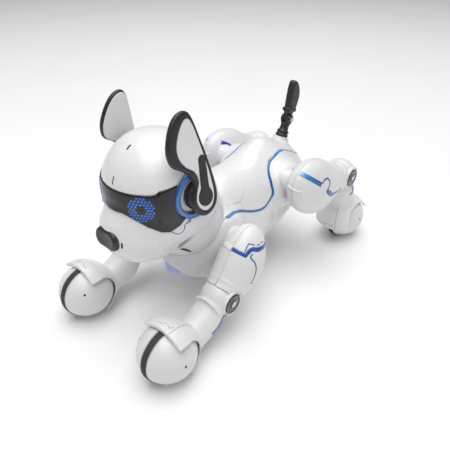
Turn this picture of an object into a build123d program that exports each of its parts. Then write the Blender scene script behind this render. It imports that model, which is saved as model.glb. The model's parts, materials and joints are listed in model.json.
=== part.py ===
from build123d import *
import math
import os

# Robot dog toy on four ball-shaped feet, lying stretched out.
# +X is the dog's left, the dog looks along -Y, +Z is up, Z = 0 is the floor
# under the tyres, and the origin is below the middle of the dog.

# ---------------------------------------------------------------- driving dimensions, mm
LEG_X = 56.5            # mid-plane of each leg, from the dog's mid-plane
AXLE_Y = 139.4          # wheel axles, in front of and behind the middle
TYRE_R = 25.8
TYRE_W = 5.6
CAP_R = 25.0            # white half-balls beside the tyre
CAP_WALL = 2.0
GUARD_IN_R = 26.4       # ball guard, inside and outside
GUARD_OUT_R = 27.8
GUARD_BRIM_R = 30.2     # outside of the guard's thicker brim
GUARD_POLE_R = 20.4     # round cut-out of the guard about each pole
GUARD_LIP = 4.0         # lip plane, past the axle, facing 165 degrees from the leg
GUARD_END = 19.3        # end plane, past the axle, facing -105 degrees from the leg
LEG_LENGTH = 66.0       # lower leg, pivot to wheel axle

KNUCKLE_R = 17.0        # ball joint of elbow and knee
KNUCKLE_FLAT = 14.4     # its flat sides, where the pivot cap sits
SOCKET_R = 17.4
TONGUE_W = 5.0
PIN_R = 2.0
PIVOT_CAP_R = 9.0
FIT = 0.05              # radial running fit of pins and spigots
WALL = 2.2
SPIGOT_R = 8.0          # shoulder and hip spigots
SPIGOT_END = 30.0       # their inner ends, from the dog's mid-plane
FOREARM_R = 12.6

NECK_Y, NECK_Z = -62.0, 98.0   # centre of the neck ball
NECK_TILT = 30.0               # neck axis leans forward from vertical
COLLAR_R = 36.0
NECK_BALL_R = 33.0
HEAD_RIM = 14.0                # height of the head's rear rim along the neck axis

EAR_HUB_Y, EAR_HUB_Z = -84.0, 143.0
HEAD_FLAT_X = 37.5             # flat seats of the ear rings
EAR_LEAN = 10.2                # ears lean inwards at the top
EAR_PLATE_X = 44.4             # inner face of the ear at its hub

TAIL_BASE_Y, TAIL_BASE_Z = 84.0, 125.0
TAIL_TILT = 64.0               # stem direction, up from +Y
TAIL_STEM = 19.5               # base to fold knuckle

# Body outline: distance along the dog, half-width, top and bottom heights.
BODY_STATIONS = [
    (-84, 9, 69, 53), (-72, 24, 86, 38), (-55, 33, 105, 28), (-30, 35, 124, 25),
    (0, 35, 136, 28), (30, 35, 141, 33), (60, 34, 134, 38), (85, 30, 120, 47),
    (105, 20, 104, 62), (112, 8, 92, 77),
]
# Wavy joint between the upper and lower body shells, seen from the side.
SEAM = [
    (-96, 70), (-60, 84), (-44, 93), (-33, 97), (-20, 95), (0, 84), (12, 82), (22, 86),
    (30, 97), (38, 112), (47, 120), (60, 124), (76, 121), (100, 112), (125, 100),
]

# One entry per leg pair: wheel axle, direction from the axle to the elbow or knee, hub in
# the body, middle, lean and half-sizes of the egg-shaped upper leg, and lower-leg swing.
FRONT = dict(axle_y=-AXLE_Y, rest=15.0, hub=(-40.0, 80.0), middle=(-47.5, 67.0),
             lean=62.0, egg=(19.0, 33.4, 21.3), swing=(-18, 40), cuff=(16.6, 15.0))
HIND = dict(axle_y=AXLE_Y, rest=110.0, hub=(42.0, 105.0), middle=(63.0, 94.5),
            lean=-30.5, egg=(18.0, 41.5, 28.5), swing=(-8, 42), cuff=(16.0, 14.4))

os.makedirs("parts", exist_ok=True)


# ---------------------------------------------------------------- helpers
def save(name, shape):
    """Write one named piece."""
    export_step(shape, f"parts/{name}.step")


def ellipsoid(half_x, half_y, half_z):
    return scale(Sphere(1), by=(half_x, half_y, half_z))


def rod_x(radius, start, end):
    """Cylinder along X between two X positions."""
    middle = (start + end) / 2
    return Pos(middle, 0, 0) * Rot(0, 90, 0) * Cylinder(radius, end - start)


def rod_between(start, end, radius_start, radius_end=None):
    """Round rod or cone in the mid-plane between two (y, z) points."""
    length = math.dist(start, end)
    angle = math.degrees(math.atan2(end[1] - start[1], end[0] - start[0]))
    place = Location((0, start[0], start[1]), (angle - 90, 0, 0))
    if radius_end is None or radius_end == radius_start:
        solid = Cylinder(radius_start, length, align=(Align.CENTER, Align.CENTER, Align.MIN))
    else:
        solid = Cone(radius_start, radius_end, length, align=(Align.CENTER, Align.CENTER, Align.MIN))
    return place * solid


def side_prism(points, smooth=False):
    """Endless slab along X with a closed (y, z) outline."""
    if smooth:
        outline = Spline(*points, periodic=True)
    else:
        outline = Polyline(*points, close=True)
    return extrude(Plane.YZ * make_face(outline), amount=80, both=True)


def slab_x(start, end, size=400):
    return Pos((start + end) / 2, 0, 0) * Box(end - start, size, size)


def mirrored(shape):
    return mirror(shape, about=Plane.YZ)


# ---------------------------------------------------------------- legs
def knee_point(leg):
    """Elbow or knee pivot as (y, z), one lower-leg length from the axle."""
    angle = math.radians(leg["rest"])
    return (leg["axle_y"] + LEG_LENGTH * math.cos(angle), TYRE_R + LEG_LENGTH * math.sin(angle))


def half_ball_cap(flat, bore):
    """Hollow half ball on +X with a bearing boss for the wheel's stub axle."""
    inside = CAP_R - CAP_WALL
    boss, bore_end = 5.0, 13.5
    outer_rim = (flat, math.sqrt(CAP_R**2 - flat**2))
    inner_rim = (flat, math.sqrt(inside**2 - flat**2))
    boss_end = (math.sqrt(inside**2 - boss**2), boss)
    slant = math.sqrt(0.5)
    outline = ThreePointArc(outer_rim, (CAP_R * slant, CAP_R * slant), (CAP_R, 0))
    outline += Polyline((CAP_R, 0), (bore_end, 0), (bore_end, bore), (flat, bore), (flat, boss), boss_end)
    outline += ThreePointArc(boss_end, (inside * slant, inside * slant), inner_rim)
    outline += Line(inner_rim, outer_rim)
    return revolve(make_face(outline), axis=Axis.X)


def wheel_pieces():
    """Hub with stub axles, tyre, and the two half-ball caps, about the origin."""
    seat_r = TYRE_R - 2.6
    hub = rod_x(seat_r, -TYRE_W / 2, TYRE_W / 2) + rod_x(2.0, -13, 13)
    for angle in range(0, 360, 60):
        hub -= Rot(angle, 0, 0) * Pos(0, 13, 0) * rod_x(4.2, -5, 5)
    tyre = rod_x(TYRE_R, -TYRE_W / 2, TYRE_W / 2) - rod_x(seat_r, -TYRE_W, TYRE_W)
    cap = half_ball_cap(TYRE_W / 2 + 0.6, 2.0 + FIT)
    return hub, tyre, [cap, mirrored(cap)]


def guard():
    """Spherical ball guard about the origin, with the leg on its +Y side."""
    brim = Sphere(GUARD_BRIM_R) & Rot(66, 0, 0) * Pos(0, 40, 0) * Box(60, 80, 34)
    shell = Sphere(GUARD_OUT_R) + brim - Sphere(GUARD_IN_R)
    shell -= Rot(165, 0, 0) * Pos(0, GUARD_LIP + 40, 0) * Box(120, 80, 120)
    shell -= Rot(-105, 0, 0) * Pos(0, GUARD_END + 40, 0) * Box(120, 80, 120)
    shell -= rod_x(GUARD_POLE_R, -40, 40)
    seats = Sphere(GUARD_IN_R + 0.2) - Sphere(CAP_R)
    seats = seats & (slab_x(8, 11) + slab_x(-11, -8))
    seats &= Rot(30, 0, 0) * Pos(0, 40, 0) * Box(60, 80, 34)
    return shell + seats


def lower_leg(tongue_angle, swing):
    """Forearm or shank with its ball guard; pivot at the origin, wheel towards -Y."""
    arm = rod_between((-8, 0), (-LEG_LENGTH + 20, 0), FOREARM_R - 0.4, FOREARM_R + 1.2)
    arm -= rod_between((-20, 0), (-LEG_LENGTH + 20, 0), FOREARM_R - 2.6, FOREARM_R - 1)
    arm -= Pos(0, -LEG_LENGTH, 0) * Sphere(GUARD_IN_R + 0.1)
    knuckle = Sphere(KNUCKLE_R) & slab_x(-KNUCKLE_FLAT, KNUCKLE_FLAT)
    leg = arm + knuckle + Pos(0, -LEG_LENGTH, 0) * guard()
    slot = rod_x(10.5, -2.8, 2.8)
    low = tongue_angle - swing[1] - 34
    high = tongue_angle - swing[0] + 34
    steps = 8
    for step in range(steps + 1):
        angle = low + 20 + (high - low - 40) * step / steps
        slot += Rot(angle, 0, 0) * Pos(0, 12, 0) * Box(5.6, 24, 15)
    leg -= slot
    leg -= rod_x(PIN_R, -40, 40)
    return leg


def pivot_pin():
    """Steel pin with the round black cap on the outer side."""
    cap = rod_x(PIVOT_CAP_R, KNUCKLE_FLAT, KNUCKLE_FLAT + 2.2)
    cap = fillet(cap.edges().filter_by(GeomType.CIRCLE).sort_by(Axis.X)[-1], 0.8)
    cap -= rod_x(3.0, KNUCKLE_FLAT + 1.6, KNUCKLE_FLAT + 4)
    return cap + rod_x(PIN_R, -12, KNUCKLE_FLAT + 0.5)


def upper_leg(leg):
    """Outer and inner halves of the hollow upper leg, on the leg's mid-plane."""
    half_x, along, across = leg["egg"]
    middle, pivot, hub = leg["middle"], knee_point(leg), leg["hub"]
    cuff_r, cuff_end = leg["cuff"]
    egg_place = Location((0, middle[0], middle[1]), (leg["lean"], 0, 0))
    pivot_place = Pos(0, pivot[0], pivot[1])
    reach = math.dist(middle, pivot)
    toward = ((pivot[0] - middle[0]) / reach, (pivot[1] - middle[1]) / reach)
    cuff_tip = (pivot[0] - toward[0] * 6, pivot[1] - toward[1] * 6)
    shape = egg_place * ellipsoid(half_x, along, across)
    shape += rod_between(middle, cuff_tip, cuff_r + 1.2, cuff_r)
    hollow = egg_place * ellipsoid(half_x - WALL, along - WALL, across - WALL)
    hollow += rod_between(middle, cuff_tip, cuff_r - 1.4, cuff_end - 0.6)
    hollow -= pivot_place * Sphere(SOCKET_R + WALL)
    hollow -= Pos(0, hub[0], hub[1]) * rod_x(11, -60, -half_x + 7)
    shape -= hollow
    shape -= pivot_place * Sphere(SOCKET_R)
    for angle in range(int(leg["swing"][0]), int(leg["swing"][1]) + 1, 8):
        place = Location((0, pivot[0], pivot[1]), (leg["rest"] + angle, 0, 0))
        shape -= place * rod_between((0, 0), (-60, 0), FOREARM_R + 1.6)
    angle = math.degrees(math.atan2(-toward[1], -toward[0]))
    tongue = Rot(angle, 0, 0) * Pos(0, 10.5, 0) * Box(TONGUE_W, 21, 13)
    tongue += rod_x(9.0, -TONGUE_W / 2, TONGUE_W / 2)
    shape += pivot_place * tongue
    shape -= pivot_place * rod_x(PIN_R + FIT, -40, 40)
    shape -= pivot_place * rod_x(PIVOT_CAP_R + 0.8, KNUCKLE_FLAT - 1, 40)
    outer = shape & slab_x(0, 60)
    inner = shape & slab_x(-60, 0)
    inner += Pos(0, hub[0], hub[1]) * rod_x(SPIGOT_R, SPIGOT_END - LEG_X, -half_x + 3)
    return outer, inner


def make_legs():
    hub, tyre, caps = wheel_pieces()
    for end, leg in (("front", FRONT), ("hind", HIND)):
        outer, inner = upper_leg(leg)
        pivot = knee_point(leg)
        middle = leg["middle"]
        tongue_angle = math.degrees(math.atan2(middle[1] - pivot[1], middle[0] - pivot[0]))
        shin = lower_leg(tongue_angle - leg["rest"], leg["swing"])
        place = Location((LEG_X, pivot[0], pivot[1]), (leg["rest"], 0, 0))
        wheel = Pos(LEG_X, leg["axle_y"], TYRE_R)
        pieces = {
            "upper_leg_outer": Pos(LEG_X, 0, 0) * outer,
            "upper_leg_inner": Pos(LEG_X, 0, 0) * inner,
            "lower_leg": place * shin,
            "pivot_pin": Pos(LEG_X, pivot[0], pivot[1]) * pivot_pin(),
            "wheel_hub": wheel * hub,
            "tyre": wheel * tyre,
            "wheel_caps": Compound(children=[wheel * cap for cap in caps]),
        }
        for name, shape in pieces.items():
            save(f"{end}_left_{name}", shape)
            save(f"{end}_right_{name}", mirrored(shape))


# ---------------------------------------------------------------- body
def body_solid(shrink):
    """Lofted body, made smaller by shrink all round."""
    sections = []
    last = len(BODY_STATIONS) - 1
    for index, (along, half_width, top, bottom) in enumerate(BODY_STATIONS):
        if index == 0:
            along += shrink
        if index == last:
            along -= shrink
        across = max(half_width - shrink, 2.0)
        tall = max((top - bottom) / 2 - shrink, 2.0)
        plane = Plane(origin=(0, along, (top + bottom) / 2), x_dir=(1, 0, 0), z_dir=(0, 1, 0))
        sections.append(plane * Ellipse(across, tall))
    return loft(sections)


def neck_plane(height):
    """Plane across the neck axis at a height above the neck ball's centre."""
    lean = math.radians(NECK_TILT)
    normal = (0, -math.sin(lean), math.cos(lean))
    return Plane(origin=(0, NECK_Y + normal[1] * height, NECK_Z + normal[2] * height),
                 x_dir=(1, 0, 0), z_dir=normal)


def neck_zone(low, high, radius=60):
    """Disc across the neck axis between two heights."""
    return extrude(neck_plane(low) * Circle(radius), amount=high - low)


def battery_opening(gap=0.0):
    return Pos(0, 22, 20) * Box(34 + gap, 66 + gap, 60)


def make_body():
    outer = body_solid(0)
    shell = outer - body_solid(WALL)
    for leg in (FRONT, HIND):
        hub_y, hub_z = leg["hub"]
        face = LEG_X - leg["egg"][0] - 0.6
        for side in (1, -1):
            place = Pos(0, hub_y, hub_z)
            boss = rod_x(19, SPIGOT_END, face)
            boss -= rod_x(16.5, 20, face - 2)
            boss += rod_x(11, SPIGOT_END, face)
            hole = rod_x(SPIGOT_R + FIT, 10, 60)
            if side < 0:
                boss, hole = mirrored(boss), mirrored(hole)
            shell += place * boss
            shell -= place * hole
    shell -= Pos(0, NECK_Y, NECK_Z) * Sphere(COLLAR_R)
    for screw in screws():
        shell -= screw
    socket = tail_axis_rod(-15, 0, 10.5, 8.5)
    stem_hole = tail_axis_rod(-16, 1, 3.5 + FIT)
    shell -= socket
    below = make_face(Spline(*SEAM) + Polyline(SEAM[-1], (125, -5), (-96, -5), SEAM[0]))
    lower_zone = extrude(Plane.YZ * below, amount=70, both=True)
    lower = shell & lower_zone
    upper = shell - lower_zone
    cover = (lower & battery_opening(-0.6)) & Pos(0, 22, 25) * Box(60, 90, 40)
    lower -= battery_opening() & Pos(0, 22, 25) * Box(60, 90, 40)
    switch_slot = Pos(0, -22, 28) * Box(8, 14, 12)
    lower -= switch_slot
    save("body_upper_shell", upper)
    save("body_lower_shell", lower)
    save("battery_cover", cover)
    save("tail_socket", socket - stem_hole)

    lens = Pos(0, -77, 48) * ellipsoid(10, 6.5, 8.5) - outer
    save("chest_light", lens)
    collar = Pos(0, NECK_Y, NECK_Z) * (Sphere(COLLAR_R) - Sphere(NECK_BALL_R + 0.5))
    collar &= neck_zone(-16, 10)
    save("neck_collar", collar)


def screws():
    """Six self-tapping screws up through the belly."""
    pieces = []
    for screw_x, screw_y, screw_z in ((20, -60, 38.5), (24, 62, 49), (16, 90, 56.5)):
        for side in (1, -1):
            head = Pos(side * screw_x, screw_y, screw_z) * Cylinder(2.6, 2.0)
            shank = Pos(side * screw_x, screw_y, screw_z + 6) * Cylinder(1.3, 10)
            pieces.append(head + shank)
    return pieces


def make_inside():
    """Battery, electronics, speaker, gearmotors, switch and screws inside the body."""
    battery = Pos(0, 18, 50) * Box(22, 66, 20)
    battery = fillet(battery.edges().filter_by(Axis.Y), 6)
    save("battery_pack", battery)
    board = Pos(0, 0, 111) * Box(38, 40, 1.6)
    for place_x, place_y, width, depth in ((0, 0, 12, 12), (-14, 8, 7, 9), (13, -9, 8, 6), (14, 12, 5, 5)):
        board += Pos(place_x, place_y, 112.6) * Box(width, depth, 2)
    save("main_board", board)
    cone = rod_between((-70, 51), (-61, 55), 14, 12)
    cone += rod_between((-63, 54.1), (-55, 57.7), 8)
    save("speaker", cone)

    motors = []
    for leg in (FRONT, HIND):
        hub_y, hub_z = leg["hub"]
        for side in (1, -1):
            box = Pos(side * 19, hub_y + 8, hub_z - 9) * Box(14, 32, 20)
            box += Pos(side * 18, hub_y + 28, hub_z - 10) * Rot(90, 0, 0) * Cylinder(6, 10)
            box -= Pos(0, NECK_Y, NECK_Z) * Sphere(COLLAR_R + 0.5)
            motors.append(box)
    save("leg_gearmotors", Compound(children=motors))
    neck_motor = neck_zone(-34, -23, 11)
    neck_motor += neck_zone(-46, -34, 8)
    save("neck_gearmotor", neck_motor)

    bottom = 26.6
    knob = Pos(0, -20, bottom) * Box(4, 5, 5)
    slider = Pos(0, -20, bottom + 3.4) * Box(10, 9, 1.8)
    save("power_switch", knob + slider)
    save("body_screws", Compound(children=screws()))


# ---------------------------------------------------------------- tail
def tail_axis_rod(start, end, radius, radius_end=None):
    """Round rod on the tail's swivel axis between two distances from its base."""
    angle = math.radians(TAIL_TILT)
    points = []
    for distance in (start, end):
        points.append((TAIL_BASE_Y + distance * math.cos(angle), TAIL_BASE_Z + distance * math.sin(angle)))
    return rod_between(points[0], points[1], radius, radius_end)


def make_tail():
    angle = math.radians(TAIL_TILT)
    fold = (TAIL_BASE_Y + TAIL_STEM * math.cos(angle), TAIL_BASE_Z + TAIL_STEM * math.sin(angle))
    stem = tail_axis_rod(-15, 1, 3.5) + tail_axis_rod(0.3, 5, 6.2) + tail_axis_rod(4, 14, 4.6)
    stem += tail_axis_rod(13, TAIL_STEM, 4.6) & slab_x(-4.6, 4.6)
    place = Pos(0, fold[0], fold[1])
    stem += place * rod_x(5.0, -5, 5)
    gap = place * rod_x(5.6, -2.1, 2.1)
    stem -= gap
    stem -= place * rod_x(1.5, -9, 9)
    save("tail_stem", stem)
    save("tail_pin", place * (rod_x(1.5, -6.2, 6.2) + rod_x(2.6, 5.0, 6.4)))
    outline = Spline((89.5, 150), (91.5, 163), (94.5, 176), (98.5, 181), (104.5, 177.5), (108.2, 167),
                     (105.5, 156), (100.5, 148))
    face = make_face(outline + Line(outline @ 1, outline @ 0))
    blade = extrude(Plane.YZ * face, amount=4.0, both=True)
    neck = place * (rod_x(5.0, -1.9, 1.9) + Rot(74, 0, 0) * Pos(0, 5.5, 0) * Box(3.8, 11, 8.4))
    blade -= place * rod_x(6.0, -9, 9)
    blade = blade + neck
    blade -= place * rod_x(1.5 + FIT, -9, 9)
    save("tail_blade", blade)


# ---------------------------------------------------------------- head
def head_solid(shrink):
    """Cranium, muzzle and cheeks, made smaller by shrink all round."""
    cranium = Pos(0, -88.1, 142.3) * Sphere(43.6 - shrink)
    muzzle = Location((0, -101.4, 110.6), (-4.3, 0, 0)) * ellipsoid(33 - shrink, 41.8 - shrink, 34.2 - shrink)
    cheeks = Pos(0, -82, 122) * ellipsoid(39.6 - shrink, 34 - shrink, 30 - shrink)
    solid = cranium + muzzle + cheeks
    return solid & slab_x(-HEAD_FLAT_X + shrink, HEAD_FLAT_X - shrink)


def rim_cut(height):
    """Everything behind the jaw and below the head's rear rim."""
    plane = neck_plane(height)
    block = extrude(plane * (Pos(0, 25) * Rectangle(140, 110)), amount=-80)
    return block


def visor_band():
    return side_prism([(-150, 152.5), (-118, 152.8), (-114, 155.6), (-98, 156.4), (-92, 150),
                       (-92, 127), (-99, 120), (-107, 116.5), (-113, 118.5), (-122, 125.5),
                       (-131.5, 135.5), (-150, 136.5)])


def eye_rods(radius, start, end):
    """Rods towards both eyes from the middle of the cranium."""
    rods = []
    for side in (1, -1):
        direction = Vector(side * 24, -36, -1.5).normalized()
        origin = Vector(0, -88.1, 142.3)
        plane = Plane(origin=origin + direction * start, z_dir=direction)
        rods.append(extrude(plane * Circle(radius), amount=end - start))
    return rods


def make_head():
    outer = head_solid(0)
    shell = outer - head_solid(WALL)
    ball_centre = Pos(0, NECK_Y, NECK_Z)
    shell -= ball_centre * Sphere(COLLAR_R + 0.8)
    shell -= rim_cut(HEAD_RIM)
    shell -= Pos(0, EAR_HUB_Y, EAR_HUB_Z) * rod_x(5 + FIT, -60, 60)
    flange = (outer & neck_zone(HEAD_RIM, HEAD_RIM + WALL, 80)) - ball_centre * Sphere(NECK_BALL_R - 2)
    shell += flange
    ball = ball_centre * (Sphere(NECK_BALL_R) - Sphere(NECK_BALL_R - 2)) & neck_zone(-8, HEAD_RIM + 1)
    floor = neck_zone(-8, -6, math.sqrt(NECK_BALL_R**2 - 8**2))
    spigot = neck_zone(-22.5, -6, 7)
    shell += ball
    shell += floor + spigot
    for window in eye_rods(11.5, 30, 60):
        shell -= window
    front_zone = Pos(0, EAR_HUB_Y - 100, 130) * Box(200, 200, 260)
    front_zone -= neck_zone(-60, HEAD_RIM + WALL, 46) & Pos(0, NECK_Y + 10, NECK_Z) * Box(90, 90, 200)
    front = shell & front_zone
    rear = shell - front_zone
    save("head_front_shell", front)
    save("head_rear_shell", rear)

    band = (head_solid(-1.2) - outer) & visor_band()
    save("visor", band - Pos(0, EAR_HUB_Y, EAR_HUB_Z) * rod_x(19.9, -60, 60))
    nose = Pos(0, -139.5, 111) * Box(26, 12, 20)
    nose = fillet(nose.edges().filter_by(Axis.Y), 8)
    nose = fillet(nose.faces().sort_by(Axis.Y)[0].edges(), 3)
    save("nose", nose - outer)
    boards = [rod for rod in eye_rods(11, 37.0, 38.6)]
    save("led_boards", Compound(children=boards))

    ring = rod_x(19.5, HEAD_FLAT_X, HEAD_FLAT_X + 2.8) - rod_x(15, HEAD_FLAT_X - 1, HEAD_FLAT_X + 5)
    ring = Pos(0, EAR_HUB_Y, EAR_HUB_Z) * ring
    save("ear_light_rings", Compound(children=[ring, mirrored(ring)]))
    board = Pos(0, -92, 171) * Box(22, 24, 1.6)
    save("head_sensor_board", board)


# ---------------------------------------------------------------- ears
def ear_outline():
    """Ear seen from the side: tall blade, notched neck in front, round lobe below."""
    outline = Spline((-77, 187), (-82, 203.5), (-87.5, 209), (-96, 207.5), (-103.5, 200),
                     (-109, 188), (-109.5, 179), (-106.5, 172.5), (-98, 167), (-91, 160),
                     (-89.5, 153), (-93, 146), (-94.5, 138), (-90, 130), (-82, 127),
                     (-73, 131), (-68.5, 140), (-69.5, 155), (-72.5, 170), periodic=True)
    return make_face(outline)


def ear_inset():
    """White panel inside the black border."""
    outline = Spline((-78.5, 185), (-82.5, 199), (-86.5, 204), (-92, 202), (-98, 194),
                     (-101.5, 185), (-100.5, 176.5), (-95.5, 169.5), (-88.5, 164), (-86, 156),
                     (-90, 147), (-91, 139.5), (-87, 133), (-81.5, 130.8), (-75, 134),
                     (-71.5, 142), (-72.5, 156), (-75, 170), periodic=True)
    return make_face(outline)


def thermometer():
    """Black stem and bulb let into the white panel."""
    bulb = Pos(-81.5, 142.5) * Circle(7.6)
    stem = Pos(-80.4, 158.5) * SlotOverall(33, 7.6, rotation=92)
    return bulb + stem


def make_ears():
    hub = Pos(0, EAR_HUB_Y, EAR_HUB_Z)
    lean = Pos(0, 0, EAR_HUB_Z) * Rot(0, -EAR_LEAN, 0) * Pos(0, 0, -EAR_HUB_Z)
    depth = 4.4

    def plate(face, start, end):
        flat = extrude(Plane.YZ * face, amount=end - start)
        return Pos(EAR_PLATE_X, 0, 0) * lean * Pos(start, 0, 0) * flat

    spindle = hub * (rod_x(12, HEAD_FLAT_X + 0.4, EAR_PLATE_X + 2.6) + rod_x(5, HEAD_FLAT_X - 5, HEAD_FLAT_X + 2))
    frame = plate(ear_outline(), 0, depth) + spindle
    frame -= plate(ear_inset(), depth - 1.6, depth + 6)
    panel = plate(ear_inset(), depth - 1.6, depth) - plate(thermometer(), depth - 0.8, depth + 1)
    inlay = plate(thermometer(), depth - 0.8, depth)
    for name, shape in (("shell", frame), ("panel", panel), ("inlay", inlay)):
        save(f"ear_left_{name}", shape)
        save(f"ear_right_{name}", mirrored(shape))


make_legs()
make_body()
make_inside()
make_tail()
make_head()
make_ears()
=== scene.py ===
import json
import math
import bpy
import numpy as np
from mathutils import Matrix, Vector


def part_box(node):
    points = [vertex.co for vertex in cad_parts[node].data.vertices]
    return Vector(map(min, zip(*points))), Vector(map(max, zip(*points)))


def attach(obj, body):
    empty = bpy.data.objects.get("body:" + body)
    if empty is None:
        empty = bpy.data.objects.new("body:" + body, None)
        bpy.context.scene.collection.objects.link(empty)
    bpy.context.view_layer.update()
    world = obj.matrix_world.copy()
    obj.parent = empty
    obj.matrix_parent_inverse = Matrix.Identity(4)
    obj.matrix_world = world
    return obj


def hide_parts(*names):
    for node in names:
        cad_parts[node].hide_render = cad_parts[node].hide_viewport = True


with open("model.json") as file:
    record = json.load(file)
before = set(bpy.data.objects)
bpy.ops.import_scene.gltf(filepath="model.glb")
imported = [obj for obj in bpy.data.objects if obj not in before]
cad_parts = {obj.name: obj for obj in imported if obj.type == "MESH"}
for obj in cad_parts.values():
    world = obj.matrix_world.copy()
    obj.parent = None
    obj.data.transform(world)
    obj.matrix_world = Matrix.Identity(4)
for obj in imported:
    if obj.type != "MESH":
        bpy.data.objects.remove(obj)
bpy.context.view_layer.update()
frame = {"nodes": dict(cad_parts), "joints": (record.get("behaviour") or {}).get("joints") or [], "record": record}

# Shapes are worked out in millimetres in the row frame; meshes are stored in metres.
MM = 0.001
COARSE = 1.0
STEP = dict(thigh=0.85, shin=0.8, body=1.1, collar=0.9, lens=0.6, head=0.95, neck=1.0, visor=0.7,
            nose=0.6, ear=0.6, fork=0.5, blade=0.55)     # cell sizes of the meshes
FAR = 1e9
COS30, SIN30 = 0.8660254, 0.5
SIDES = ((1, "left"), (-1, "right"))
PIVOTS = {j["name"]: np.array(j["pos_m"]) / MM for j in frame["joints"] if "pos_m" in j}


def middle_of(node):
    """Middle of a CAD node's box, in millimetres."""
    low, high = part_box(node)
    return (np.array(low) + np.array(high)) / 2 / MM


# ======== distance fields
# A field takes points (..., 3) and gives their distance to a surface, negative inside.
def length(v):
    return np.sqrt((v * v).sum(-1))


def smin(a, b, soft):
    """Union of two fields with a fillet."""
    h = np.maximum(soft - np.abs(a - b), 0) / soft
    return np.minimum(a, b) - h * h * soft / 4


def smax(a, b, soft):
    """Common part of two fields with rounded edges."""
    return -smin(-a, -b, soft)


def sphere(p, centre, radius):
    return length(p - centre) - radius


def left_side(p):
    """Points of the right side brought over to the left."""
    return np.concatenate((np.abs(p[..., :1]), p[..., 1:]), -1)


def turned(p, centre, degrees):
    """Coordinates about a centre, in a frame turned about X."""
    q = p - centre
    c, s = math.cos(math.radians(degrees)), math.sin(math.radians(degrees))
    return np.stack((q[..., 0], q[..., 1] * c + q[..., 2] * s, q[..., 2] * c - q[..., 1] * s), -1)


def egg(p, centre, radii, lean=0.0):
    """Ellipsoid, leaned about X."""
    q = turned(p, centre, lean)
    radii = np.array(radii, float)
    near = length(q / radii)
    return near * (near - 1) / np.maximum(length(q / radii**2), 1e-9)


def rod(p, start, end, radius_start, radius_end):
    """Round-ended cone between two points."""
    start, end = np.array(start, float), np.array(end, float)
    along = end - start
    t = np.clip(((p - start) @ along) / (along @ along), 0, 1)
    return length(p - start - t[..., None] * along) - (radius_start + (radius_end - radius_start) * t)


def rod_x(p, centre, radius, start, end, soft=1.0):
    """Cylinder along X between two X positions."""
    round_part = np.hypot(p[..., 1] - centre[1], p[..., 2] - centre[2]) - radius
    flat_part = np.abs(p[..., 0] - (start + end) / 2) - (end - start) / 2
    return smax(round_part, flat_part, soft)


def ring_x(p, centre, x, radius, thick):
    """Round ring about an X axis."""
    around = np.hypot(p[..., 1] - centre[1], p[..., 2] - centre[2]) - radius
    return np.hypot(around, p[..., 0] - x) - thick


def ahead(p, centre, degrees):
    """How far a point lies beyond a centre, towards an angle up from +Y."""
    angle = math.radians(degrees)
    return (p[..., 1] - centre[1]) * math.cos(angle) + (p[..., 2] - centre[2]) * math.sin(angle)


def smooth_line(points, per=8, closed=False):
    """Catmull-Rom curve through the points."""
    pts = np.array(points, float)
    if closed:
        pts = np.vstack((pts[-1], pts, pts[:2]))
    else:
        pts = np.vstack((2 * pts[0] - pts[1], pts, 2 * pts[-1] - pts[-2]))
    out = []
    for a, b, c, d in zip(pts[:-3], pts[1:-2], pts[2:-1], pts[3:]):
        for t in np.arange(per) / per:
            out.append(0.5 * (2 * b + (c - a) * t + (2 * a - 5 * b + 4 * c - d) * t**2
                              + (3 * b - a - 3 * c + d) * t**3))
    if not closed:
        out.append(pts[-2])
    return np.array(out)


class Template:
    """Table of distances to a closed (y, z) outline, negative inside."""

    def __init__(self, outline, margin=12.0, pitch=0.25):
        outline = np.array(outline, float)
        self.low = outline.min(0) - margin
        self.pitch = pitch
        count = np.ceil((outline.max(0) + margin - self.low) / pitch).astype(int) + 1
        a = self.low[0] + pitch * np.arange(count[0])
        b = self.low[1] + pitch * np.arange(count[1])
        self.table = inside_outline(*np.meshgrid(a, b, indexing="ij"), outline)

    def __call__(self, p):
        """Distance of points to the outline, read from the table."""
        i = np.clip((p[..., 1] - self.low[0]) / self.pitch, 0, self.table.shape[0] - 1.001)
        j = np.clip((p[..., 2] - self.low[1]) / self.pitch, 0, self.table.shape[1] - 1.001)
        i0, j0 = i.astype(int), j.astype(int)
        u, v = i - i0, j - j0
        t = self.table
        return ((t[i0, j0] * (1 - u) + t[i0 + 1, j0] * u) * (1 - v)
                + (t[i0, j0 + 1] * (1 - u) + t[i0 + 1, j0 + 1] * u) * v)


def inside_outline(a, b, outline):
    """Distance to a closed outline in a plane, negative inside."""
    best = np.full(a.shape, FAR)
    flips = np.zeros(a.shape, bool)
    for (a0, b0), (a1, b1) in zip(outline, np.roll(outline, -1, 0)):
        da, db = a1 - a0, b1 - b0
        t = np.clip(((a - a0) * da + (b - b0) * db) / max(da * da + db * db, 1e-12), 0, 1)
        best = np.minimum(best, (a - a0 - t * da)**2 + (b - b0 - t * db)**2)
        crosses = (b0 > b) != (b1 > b)
        if b1 != b0:
            flips ^= crosses & (a < a0 + da * (b - b0) / (b1 - b0))
    return np.where(flips, -1, 1) * np.sqrt(best)


# ======== meshing
def slope(field, points, reach=0.04):
    """Gradient of a field by small steps along each axis."""
    out = np.empty_like(points)
    for axis in range(3):
        step = np.zeros(3)
        step[axis] = reach
        out[:, axis] = (field(points + step) - field(points - step)) / (2 * reach)
    return out


def onto(field, points, limit=2.0, rounds=4):
    """Moves points to the zero level of a field."""
    points = np.array(points, float)
    for _ in range(rounds):
        g = slope(field, points)
        move = -g * (field(points) / np.maximum((g * g).sum(-1), 1e-6))[:, None]
        size = length(move)
        points += move * np.minimum(1, limit / np.maximum(size, 1e-9))[:, None]
    return points


def outward(field, points):
    """Unit normals of a field at points."""
    g = slope(field, points)
    return g / np.maximum(length(g), 1e-9)[:, None]


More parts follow.
